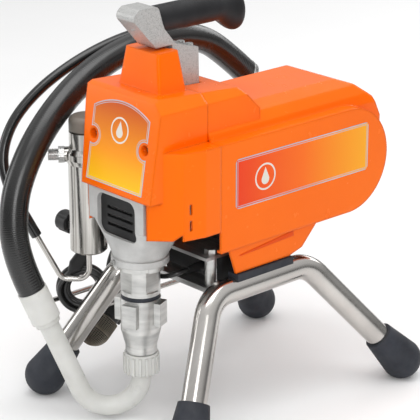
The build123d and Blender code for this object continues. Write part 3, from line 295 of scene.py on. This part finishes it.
# %% Metals
def metal(name, dark, light, rough, stretch, bump=0.06, edge=0.0008, grain=30):
    made = Finish(name, 1.0, rough[0])
    streaks = made.noise(grain, 6, stretch)
    made.colour(made.ramp(streaks, (0.3, dark), (0.72, light)))
    made.roughness(made.spread(made.noise(160, 4, stretch), *rough))
    made.relief(made.noise(500, 3, stretch), bump, 0.0003, edge=edge)
    finishes[name] = made.material


metal("polished_tube", (0.46, 0.44, 0.42), (0.63, 0.61, 0.58), (0.15, 0.22), (5, 0.4, 1.2), 0.015, grain=9)
metal("polished_bowl", (0.22, 0.21, 0.19), (0.72, 0.70, 0.67), (0.12, 0.26), (8, 8, 0.2))
metal("zinc_plate", (0.48, 0.48, 0.47), (0.70, 0.70, 0.68), (0.28, 0.46), (1, 1, 5), 0.12)
metal("machined_steel", (0.40, 0.40, 0.39), (0.66, 0.66, 0.65), (0.20, 0.36), (1, 1, 6), 0.08)
metal("flat_steel", (0.36, 0.36, 0.36), (0.56, 0.56, 0.55), (0.30, 0.48), (0.5, 6, 6), 0.15)
metal("hard_chrome", (0.66, 0.66, 0.68), (0.84, 0.84, 0.86), (0.04, 0.10), (3, 3, 3), 0.02)
metal("bright_brass", (0.52, 0.36, 0.12), (0.82, 0.62, 0.26), (0.20, 0.36), (1, 1, 5), 0.08)
metal("oiled_gear", (0.20, 0.19, 0.18), (0.44, 0.43, 0.41), (0.22, 0.40), (4, 1, 4), 0.10)
metal("copper_armature", (0.30, 0.12, 0.06), (0.62, 0.33, 0.18), (0.30, 0.50), (1, 9, 1), 0.20)
print("metals:", sorted(finishes))

# %% [markdown]
# Rubber and plastic differ mostly in how rough they are. The feet are matt with a grey bloom, the grip
# is finely pebbled, the mouldings have a spark-eroded grain, and the white fittings let a little light
# into their skin.

# %% Rubbers and plastics
def plain(name, dark, light, rough, grain, bump, edge=0.001, **sockets):
    made = Finish(name, 0.0, rough[0], **sockets)
    made.colour(made.ramp(made.noise(22, 5), (0.3, dark), (0.75, light)))
    made.roughness(made.spread(made.noise(70, 4), *rough))
    made.relief(made.noise(grain, 3), bump, 0.0005, edge=edge)
    finishes[name] = made.material


plain("foot_rubber", (0.010, 0.012, 0.018), (0.030, 0.034, 0.045), (0.55, 0.80), 300, 0.30)
plain("grip_rubber", (0.008, 0.008, 0.009), (0.022, 0.022, 0.024), (0.38, 0.58), 1300, 0.50, 0.0015,
      Specular_IOR_Level=0.25)
plain("black_moulding", (0.010, 0.010, 0.010), (0.026, 0.026, 0.027), (0.30, 0.46), 900, 0.25,
      Specular_IOR_Level=0.3)
plain("brown_grey_cap", (0.14, 0.125, 0.105), (0.24, 0.215, 0.185), (0.34, 0.50), 700, 0.15)
plain("white_fitting", (0.55, 0.55, 0.52), (0.70, 0.70, 0.675), (0.26, 0.40), 260, 0.08, 0.0015,
      Subsurface_Weight=0.15, Subsurface_Radius=(0.004, 0.004, 0.003))
plain("red_rocker", (0.30, 0.008, 0.006), (0.48, 0.02, 0.012), (0.18, 0.30), 600, 0.05)
plain("green_board", (0.006, 0.070, 0.025), (0.02, 0.16, 0.06), (0.22, 0.45), 260, 0.30)
plain("motor_enamel", (0.012, 0.012, 0.013), (0.035, 0.035, 0.037), (0.30, 0.46), 420, 0.20)
plain("white_print", (0.62, 0.62, 0.60), (0.80, 0.80, 0.78), (0.35, 0.50), 500, 0.05)
# A deeper orange, painted shade for the hollow of the skirt recess.
plain("painted_shade_orange", (0.74, 0.062, 0.0002), (0.84, 0.080, 0.0002), (0.30, 0.45), 700, 0.05,
      Specular_Tint=(1.0, 0.40, 0.10, 1.0))
# Near-black painted shade for hollows: the cross recesses in the screws and the inside of the strainer.
plain("painted_hollow_shade", (0.006, 0.006, 0.006), (0.016, 0.016, 0.016), (0.55, 0.75), 500, 0.10)
print("finishes:", len(finishes))

# %% [markdown]
# The thick hose has fine ribs across its length, which a wave along the curve's own length gives. The
# thin hose and the lead are smooth, with a slight waviness in their gloss.

# %% Hose and lead finishes
def hose_finish(name, ribs, rough, depth):
    made = Finish(name, 0.0, rough[0], Coat_Weight=0.25, Coat_Roughness=0.2)
    along = made.tree.nodes.new("ShaderNodeSeparateXYZ")
    made.join(made.node("ShaderNodeTexCoord").outputs["UV"], along.inputs["Vector"])
    wave = made.calc("SINE", made.calc("MULTIPLY", along.outputs["X"], ribs * math.tau))
    made.colour(made.ramp(made.noise(16, 5), (0.3, (0.004, 0.004, 0.004)), (0.75, (0.012, 0.012, 0.012))))
    made.roughness(made.spread(made.noise(50, 4), *rough))
    made.relief(wave, 0.22, depth)
    finishes[name] = made.material


hose_finish("ribbed_hose", 230, (0.20, 0.30), 0.00022)
hose_finish("smooth_hose", 60, (0.12, 0.24), 0.00008)
hose_finish("smooth_lead", 400, (0.26, 0.40), 0.00006)
suction_line.data.materials.append(finishes["ribbed_hose"])
drain_line.data.materials.append(finishes["smooth_hose"])
mains_line.data.materials.append(finishes["smooth_lead"])
print("hoses finished")

# %% [markdown]
# ## Printed plates
# The front plate fades from orange at its arched top to yellow, and the side plate from orange-red to
# amber. Each has a double silver line that keeps the same distance from its edge. That distance is
# worked out from the plate's own outline: two sides, a foot, an arc, and a notch round each screw. A
# plain ring with a paint drop in it marks each plate.

# %% Distances and colours on the printed plates
FACE_LOW_Z = 0.286
SLOPE = 1 / math.cos(math.atan2(0.019, 0.111))
FRONT_HALF_WIDTH, FRONT_FOOT = 0.048, 0.007
ARCH_RADIUS, ARCH_CENTRE = 0.0951, 0.0099
NOTCH_X, NOTCH_CLIMB, NOTCH_RADIUS = 0.044, 0.058, 0.010
SIDE_FRONT, SIDE_REAR, SIDE_LOW, SIDE_HIGH = -0.0397, 0.1753, 0.263, 0.322
SIDE_PLATE_PAST_X = 0.07
plate = Finish("printed_plates", 0.0, 0.34, Coat_Weight=0.08, Coat_Roughness=0.1, Specular_IOR_Level=0.2)
axes = plate.tree.nodes.new("ShaderNodeSeparateXYZ")
plate.join(plate.where, axes.inputs["Vector"])
px, py, pz = axes.outputs["X"], axes.outputs["Y"], axes.outputs["Z"]


def smallest(finish, *values):
    result = values[0]
    for value in values[1:]:
        result = finish.calc("MINIMUM", result, value)
    return result


def distance_to(finish, u, v, centre_u, centre_v):
    du = finish.calc("SUBTRACT", u, centre_u)
    dv = finish.calc("SUBTRACT", v, centre_v)
    squares = finish.calc("ADD", finish.calc("MULTIPLY", du, du), finish.calc("MULTIPLY", dv, dv))
    return finish.calc("SQRT", squares)


climb = plate.calc("MULTIPLY", plate.calc("SUBTRACT", pz, FACE_LOW_Z), SLOPE)
aside = plate.calc("ABSOLUTE", px)
to_arch_centre = distance_to(plate, px, climb, 0.0, ARCH_CENTRE)
to_notch_centre = distance_to(plate, aside, climb, NOTCH_X, NOTCH_CLIMB)
front_edge = smallest(plate, plate.calc("SUBTRACT", FRONT_HALF_WIDTH, aside),
                      plate.calc("SUBTRACT", climb, FRONT_FOOT),
                      plate.calc("SUBTRACT", ARCH_RADIUS, to_arch_centre),
                      plate.calc("SUBTRACT", to_notch_centre, NOTCH_RADIUS))
side_edge = smallest(plate, plate.calc("SUBTRACT", py, SIDE_FRONT), plate.calc("SUBTRACT", SIDE_REAR, py),
                     plate.calc("SUBTRACT", pz, SIDE_LOW), plate.calc("SUBTRACT", SIDE_HIGH, pz))
on_side = plate.calc("GREATER_THAN", px, SIDE_PLATE_PAST_X)


MIX_FACTOR, MIX_FIRST, MIX_SECOND, MIX_RESULT = 0, 6, 7, 2  # a Mix node's sockets for colours


def choose(finish, factor, first, second):
    made = finish.tree.nodes.new("ShaderNodeMix")
    made.data_type = "RGBA"
    finish.join(factor, made.inputs[MIX_FACTOR])
    finish.join(first, made.inputs[MIX_FIRST])
    finish.join(second, made.inputs[MIX_SECOND])
    return made.outputs[MIX_RESULT]


front_fade = plate.ramp(plate.spread(climb, 0.0, 1.0, at=(0.01, 0.10)), (0.0, (0.95, 0.52, 0.01)),
                        (0.40, (0.90, 0.30, 0.006)), (1.0, (0.55, 0.085, 0.004)))
side_fade = plate.ramp(plate.spread(py, 0.0, 1.0, at=(-0.035, 0.17)), (0.0, (0.78, 0.045, 0.003)),
                       (0.5, (0.90, 0.15, 0.003)), (1.0, (0.92, 0.38, 0.01)))
fade = choose(plate, on_side, front_fade, side_fade)
edge_distance = plate.calc("ADD", plate.calc("MULTIPLY", on_side, side_edge),
                           plate.calc("MULTIPLY", plate.calc("SUBTRACT", 1.0, on_side), front_edge))
border = plate.ramp(plate.spread(edge_distance, 0.0, 1.0, at=(0.0, 0.008)), (0.0, (1, 1, 1)),
                    (0.14, (1, 1, 1)), (0.16, (0, 0, 0)), (0.30, (0, 0, 0)), (0.32, (1, 1, 1)),
                    (0.39, (1, 1, 1)), (0.41, (0, 0, 0)))
silver = plate.ramp(plate.noise(14), (0.3, (0.36, 0.39, 0.43)), (0.7, (0.56, 0.58, 0.62)))
printed = choose(plate, border, fade, silver)


def emblem(finish, u, v, centre_u, centre_v, radius):
    """One on a plain ring with a paint drop inside it, nought elsewhere."""
    reach = distance_to(finish, u, v, centre_u, centre_v)
    from_ring = finish.calc("ABSOLUTE", finish.calc("SUBTRACT", reach, radius))
    ring = finish.calc("LESS_THAN", from_ring, radius * 0.07)
    foot_radius = radius * 0.40
    foot_v = centre_v - radius * 0.22
    foot = finish.calc("LESS_THAN", distance_to(finish, u, v, centre_u, foot_v), foot_radius)
    height = finish.calc("SUBTRACT", v, foot_v + foot_radius * 0.35)
    width = finish.calc("MULTIPLY", finish.calc("SUBTRACT", foot_radius * 2.1, height), 0.445)
    from_middle = finish.calc("ABSOLUTE", finish.calc("SUBTRACT", u, centre_u))
    inside = finish.calc("LESS_THAN", from_middle, width)
    above = finish.calc("MULTIPLY", inside, finish.calc("GREATER_THAN", height, 0.0))
    return finish.calc("MAXIMUM", ring, finish.calc("MAXIMUM", foot, above))


front_emblem = emblem(plate, px, climb, 0.0, 0.072, 0.0140)
side_emblem = emblem(plate, py, pz, 0.006, 0.2925, 0.0150)
mark = choose(plate, on_side, front_emblem, side_emblem)
ink = plate.ramp(plate.noise(18), (0.3, (0.66, 0.62, 0.55)), (0.7, (0.78, 0.74, 0.68)))
plate.colour(choose(plate, mark, printed, ink))
plate.relief(border, 0.2, 0.0003)
finishes["printed_plates"] = plate.material
print("printed plates finished")

# %% [markdown]
# ## Which part gets which finish
# The list below is read once. A part of the machine that nobody sees gets its real finish too, because
# covers come off.

# %% Give every solid part its finish
WEARS = {
    "orange_shell": "front_cover motor_cover",
    "grey_casting": "gearbox_housing motor_end_bell",
    "speckled_enamel": "handle_bracket",
    "polished_tube": "right_stand_tube left_stand_tube suction_rack suction_tube drain_tube",
    "polished_bowl": "filter_bowl filter_head",
    "zinc_plate": "pump_cylinder foot_valve_housing jam_ring plate_spacers plate_bolts",
    "machined_steel": "outlet_fitting drain_valve hose_ferrule return_nozzle bearings screws filter_element",
    "flat_steel": "base_plate cross_bars",
    "hard_chrome": "piston_rod piston_ball foot_valve_ball",
    "bright_brass": "packing_nut",
    "oiled_gear": "crank_gear intermediate_gear yoke",
    "copper_armature": "motor_rotor",
    "foot_rubber": "rubber_feet skirt_strips seats_and_seals",
    "grip_rubber": "handle_grip",
    "black_moulding": "rod_guard control_box control_panel cord_gland cooling_fan plug drain_knob "
                      "pressure_knob strainer_collar",
    "brown_grey_cap": "filter_cap",
    "white_fitting": "suction_elbow suction_nut hose_coupling",
    "red_rocker": "switch_rocker",
    "green_board": "circuit_board",
    "motor_enamel": "motor_stator",
    "printed_plates": "labels",
}
for finish_name, names in WEARS.items():
    for name in names.split():
        part = parts[name]
        part.data.materials.clear()
        part.data.materials.append(finishes[finish_name])
print("dressed:", sum(len(names.split()) for names in WEARS.values()), "parts")

# %% [markdown]
# ## Small modelled pieces
# Each small piece starts as a primitive, is shaped in edit mode, and ends with its place in its mesh.
# Five helpers do what is always the same: start with nothing selected, pick faces by their place, join
# pieces, turn one to a direction, and finish it.

# %% Helpers for modelled pieces
def start_clean():
    if bpy.context.object and bpy.context.object.mode != "OBJECT":
        bpy.ops.object.mode_set(mode="OBJECT")
    bpy.ops.object.select_all(action="DESELECT")


def pick_faces(piece, wanted):
    bpy.ops.object.mode_set(mode="EDIT")
    bpy.ops.mesh.select_mode(type="FACE")
    bpy.ops.mesh.select_all(action="DESELECT")
    bpy.ops.object.mode_set(mode="OBJECT")
    for face in piece.data.polygons:
        face.select = wanted(face)
    bpy.ops.object.mode_set(mode="EDIT")


def finish_piece(piece, name, finish, body="sprayer", smooth=35):
    start_clean()
    piece.select_set(True)
    bpy.context.view_layer.objects.active = piece
    bpy.ops.object.transform_apply(location=True, rotation=True, scale=True)
    bpy.ops.object.shade_smooth_by_angle(angle=math.radians(smooth))
    piece.name = name
    piece.data.name = name
    piece.data.materials.clear()
    piece.data.materials.append(finishes[finish])
    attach(piece, body)
    print(name, "faces:", len(piece.data.polygons))
    return piece


def join_all(pieces):
    start_clean()
    for piece in pieces:
        piece.select_set(True)
    bpy.context.view_layer.objects.active = pieces[0]
    bpy.ops.object.join()
    return pieces[0]


def turn_to(direction):
    return Vector(direction).to_track_quat("Z", "Y").to_euler()


print("piece helpers ready")

# %% [markdown]
# ### Strainer
# The strainer is a dome of woven wire. A sphere gives the dome, its lower half is drawn out into
# straight sides, the wireframe modifier turns every edge into a wire, and a near-black lining inside
# stands for the second, finer mesh; its dark colour is painted shade inside the dome.

# %% Woven strainer
STRAINER = Vector((-0.130, -0.0727, 0.058))
DOME_RADIUS = 0.0200
SIDE_DEPTH = 0.021
BASE_DEPTH = 0.0212
NEAR = 0.0001
tube_low = Vector((-0.130, 0.2128, 0.3076))
strainer_way = (STRAINER - tube_low).normalized()
start_clean()
bpy.ops.mesh.primitive_uv_sphere_add(segments=40, ring_count=28, radius=DOME_RADIUS, location=STRAINER,
                                     rotation=turn_to(strainer_way))
mesh_dome = bpy.context.object
for point in mesh_dome.data.vertices:
    if point.co.z < -NEAR:
        reach = math.hypot(point.co.x, point.co.y)
        if reach > NEAR:
            grow = DOME_RADIUS / reach
            point.co.x *= grow
            point.co.y *= grow
            point.co.z = -SIDE_DEPTH * (1 - reach / DOME_RADIUS)
        else:
            point.co.z = -BASE_DEPTH
start_clean()
mesh_dome.select_set(True)
bpy.context.view_layer.objects.active = mesh_dome
bpy.ops.object.duplicate()
lining = bpy.context.object
bpy.ops.transform.resize(value=(0.93, 0.93, 0.93))
finish_piece(lining, "strainer_lining", "painted_hollow_shade")
start_clean()
mesh_dome.select_set(True)
bpy.context.view_layer.objects.active = mesh_dome
wires = mesh_dome.modifiers.new("wires", "WIREFRAME")
wires.thickness = 0.0009
wires.use_even_offset = False
bpy.ops.object.modifier_apply(modifier=wires.name)
metal("woven_wire", (0.20, 0.17, 0.13), (0.42, 0.38, 0.31), (0.30, 0.48), (2, 2, 2), 0.10)
finish_piece(mesh_dome, "strainer_weave", "woven_wire")
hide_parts("strainer_basket")

# %% [markdown]
# ### Threads
# The outlet's nipple is threaded for a hose nut. A thread this small reads as a stack of fine rings,
# each a thin torus with a pointed section.

# %% Thread on the outlet nipple
NIPPLE_START = Vector((-0.1098, -0.1376, 0.303))
NIPPLE_WAY = Vector((-0.6, -0.8, 0))
RINGS = 9
rings = []
for k in range(RINGS):
    start_clean()
    bpy.ops.mesh.primitive_torus_add(major_segments=40, minor_segments=6, major_radius=0.0064,
                                     minor_radius=0.00055, rotation=turn_to(NIPPLE_WAY),
                                     location=NIPPLE_START + NIPPLE_WAY * (0.0012 + 0.00125 * k))
    rings.append(bpy.context.object)
finish_piece(join_all(rings), "outlet_thread", "machined_steel")

# %% [markdown]
# ### Screw recesses
# Each cover screw has a cross-shaped recess for a driver. Two thin crossed bars on the head stand for it,
# not cut in; their near-black colour is painted shade of the recess.

# %% Cross recesses in the two cover screws
SCREW_X, SCREW_Y, SCREW_Z = 0.044, -0.1310, 0.344
CROSS_TURN = 20
crosses = []
for side in (-1, 1):
    for turn in (0, 90):
        start_clean()
        bpy.ops.mesh.primitive_cube_add(size=1, location=(side * SCREW_X, SCREW_Y, SCREW_Z))
        bar = bpy.context.object
        bar.scale = (0.0062, 0.0008, 0.0014)
        bar.rotation_euler = (0, math.radians(turn + CROSS_TURN), 0)
        pick_faces(bar, lambda face: abs(face.normal.x) > 0.9)
        bpy.ops.mesh.inset(thickness=0.15)
        bpy.ops.transform.resize(value=(1.0, 1.0, 0.6), orient_type="LOCAL")
        bpy.ops.object.mode_set(mode="OBJECT")
        crosses.append(bar)
finish_piece(join_all(crosses), "screw_recesses", "painted_hollow_shade", smooth=20)

# %% [markdown]
# ### Skirt recess
# The +X skirt carries a long shallow recess that leans a little and narrows towards the pump. It is a
# thin wedge on the skirt, not cut in, coloured a deeper orange that is painted shade of the hollow,
# with its outer face drawn in so that a narrow slope runs round it.

# %% Recess along the skirt
start_clean()
bpy.ops.mesh.primitive_cube_add(size=1, location=(0.0821, 0.0135, 0.2070))
recess = bpy.context.object
recess.scale = (0.0008, 0.086, 0.0062)
recess.rotation_euler = (math.radians(4), 0, 0)
pick_faces(recess, lambda face: face.normal.y < -0.9)
bpy.ops.transform.resize(value=(1.0, 1.0, 0.25))
pick_faces(recess, lambda face: face.normal.x > 0.9)
bpy.ops.mesh.inset(thickness=0.05)
bpy.ops.object.mode_set(mode="OBJECT")
finish_piece(recess, "skirt_recess", "painted_shade_orange", smooth=20)

# %% [markdown]
# ### Pressure scale
# Round the pressure knob the panel carries a plain scale: eleven short ticks, longer at the ends and
# the middle.

# %% Ticks round the pressure knob
KNOB = Vector((-0.08915, 0.0713, 0.285))
TICK_REACH = 0.0215
ticks = []
for k in range(11):
    angle = math.radians(-135 + 27 * k)
    long_tick = k % 5 == 0
    start_clean()
    bpy.ops.mesh.primitive_cube_add(size=1, location=KNOB + Vector((0, TICK_REACH * math.sin(angle),
                                                                   TICK_REACH * math.cos(angle))))
    tick = bpy.context.object
    tick.scale = (0.0004, 0.0009, 0.0042 if long_tick else 0.0026)
    tick.rotation_euler = (-angle, 0, 0)
    pick_faces(tick, lambda face: face.normal.x < -0.9)
    bpy.ops.mesh.inset(thickness=0.12)
    bpy.ops.object.mode_set(mode="OBJECT")
    ticks.append(tick)
finish_piece(join_all(ticks), "pressure_scale", "white_print", smooth=20)

# %% [markdown]
# ## Light and floor
# A broad soft box above, a key light from the front right, a weaker fill from the left and one behind
# give the shell a bright top and a clear front. The sky dome is darker near the horizon, which draws the
# dark bands that polished tube needs to look round. The floor is plain and pale.

# %% Floor
start_clean()
bpy.ops.mesh.primitive_plane_add(size=30, location=(0, 0, 0))
floor = bpy.context.object
floor.name = "floor"
ground = Finish("pale_floor", 0.0, 0.6)
ground.colour(ground.ramp(ground.noise(3), (0.3, (0.86, 0.86, 0.86)), (0.7, (0.88, 0.88, 0.88))))
floor.data.materials.append(ground.material)

# %% Lights
def soft_box(name, place_at, target, size, power):
    data = bpy.data.lights.new(name, "AREA")
    data.shape = "RECTANGLE"
    data.size, data.size_y = size
    data.energy = power
    box = bpy.data.objects.new(name, data)
    box.location = place_at
    box.rotation_euler = (Vector(target) - Vector(place_at)).to_track_quat("-Z", "Y").to_euler()
    bpy.context.scene.collection.objects.link(box)
    return box


soft_box("top_box", (0.1, -0.1, 2.2), (0, 0, 0.2), (1.6, 1.6), 21)
soft_box("key_box", (1.8, -1.5, 1.3), (0, 0, 0.25), (0.9, 1.4), 20)
soft_box("fill_box", (-1.9, -1.5, 0.9), (0, 0, 0.25), (0.8, 1.4), 9)
soft_box("rear_box", (-0.6, 2.2, 1.2), (0, 0, 0.3), (1.4, 0.8), 10)
world = bpy.data.worlds.new("studio")
world.use_nodes = True
sky = world.node_tree
height = sky.nodes.new("ShaderNodeSeparateXYZ")
sky.links.new(sky.nodes.new("ShaderNodeTexCoord").outputs["Generated"], height.inputs["Vector"])
dome = sky.nodes.new("ShaderNodeValToRGB")
sky.links.new(height.outputs["Z"], dome.inputs["Fac"])
dome.color_ramp.elements[0].color = (0.20, 0.20, 0.20, 1)
dome.color_ramp.elements[1].color = (1.0, 1.0, 1.0, 1)
for at, shade in ((0.14, 0.30), (0.42, 0.80)):
    dome.color_ramp.elements.new(at).color = (shade, shade, shade, 1)
sky.links.new(dome.outputs["Color"], sky.nodes["Background"].inputs["Color"])
sky.nodes["Background"].inputs["Strength"].default_value = 0.90
bpy.context.scene.world = world
bpy.context.scene.view_settings.view_transform = "Standard"
print("studio ready")

# %% [markdown]
# ## Last step
# The view layer is brought up to date.

# %% Update the view layer
bpy.context.view_layer.update()
